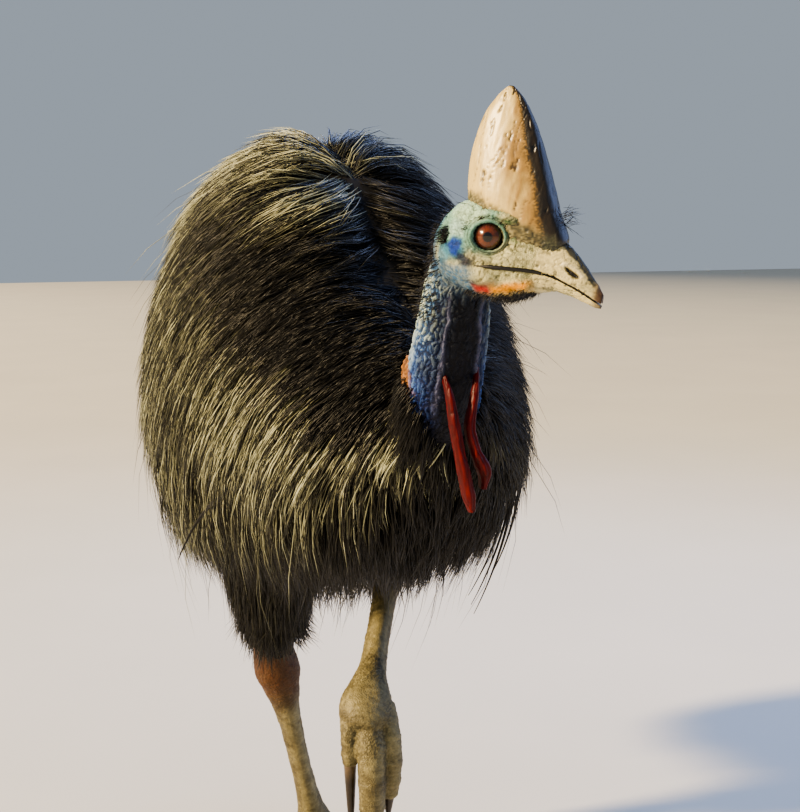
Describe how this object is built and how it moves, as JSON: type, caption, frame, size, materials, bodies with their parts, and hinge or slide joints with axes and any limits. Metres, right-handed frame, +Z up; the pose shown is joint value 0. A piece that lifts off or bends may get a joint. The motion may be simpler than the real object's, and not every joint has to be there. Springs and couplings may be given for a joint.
{
  "type": "cassowary",
  "caption": "Life-size southern cassowary in mid-stride, one foot planted and one lifted, head turned to its left, with tall casque, blue neck, red wattles and long drooping plumage.",
  "frame": {"origin": "on the floor, under the ball of the planted right foot", "axes": "+Z up; the bird faces -Y and its left side is +X"},
  "size_m": [0.5199, 1.2147, 1.1348],
  "materials": {
    "plumage": "glossy black-brown hair-like plumage",
    "face_skin": "bare scaly skin, pale turquoise and cream",
    "neck_skin": "bare wrinkled skin, cobalt blue",
    "wattle_skin": "bare soft skin, red",
    "casque_horn": "worn horn, beige with brown chips",
    "bill_horn": "worn horn, cream-grey",
    "quill_horn": "bare quill shafts, shiny black",
    "leg_scale": "horny scutes, olive-grey",
    "claw_horn": "worn horn, dark brown",
    "eye": "wet, orange-brown iris"
  },
  "bodies": {
    "root": {"head": "face_skin", "bill_upper": "bill_horn", "bill_lower": "bill_horn", "casque": "casque_horn", "eye_left": "eye", "eye_right": "eye", "neck": "neck_skin", "wattle_left": "wattle_skin", "wattle_right": "wattle_skin", "torso": "plumage", "tail": "plumage", "wing_left": "quill_horn", "wing_right": "quill_horn", "thigh_left": "plumage", "thigh_right": "plumage", "tarsus_left": "leg_scale", "tarsus_right": "leg_scale", "toe_inner_left": "leg_scale", "toe_middle_left": "leg_scale", "toe_outer_left": "leg_scale", "toe_inner_right": "leg_scale", "toe_middle_right": "leg_scale", "toe_outer_right": "leg_scale", "claw_inner_left": "claw_horn", "claw_middle_left": "claw_horn", "claw_outer_left": "claw_horn", "claw_inner_right": "claw_horn", "claw_middle_right": "claw_horn", "claw_outer_right": "claw_horn"}
  },
  "joints": []
}
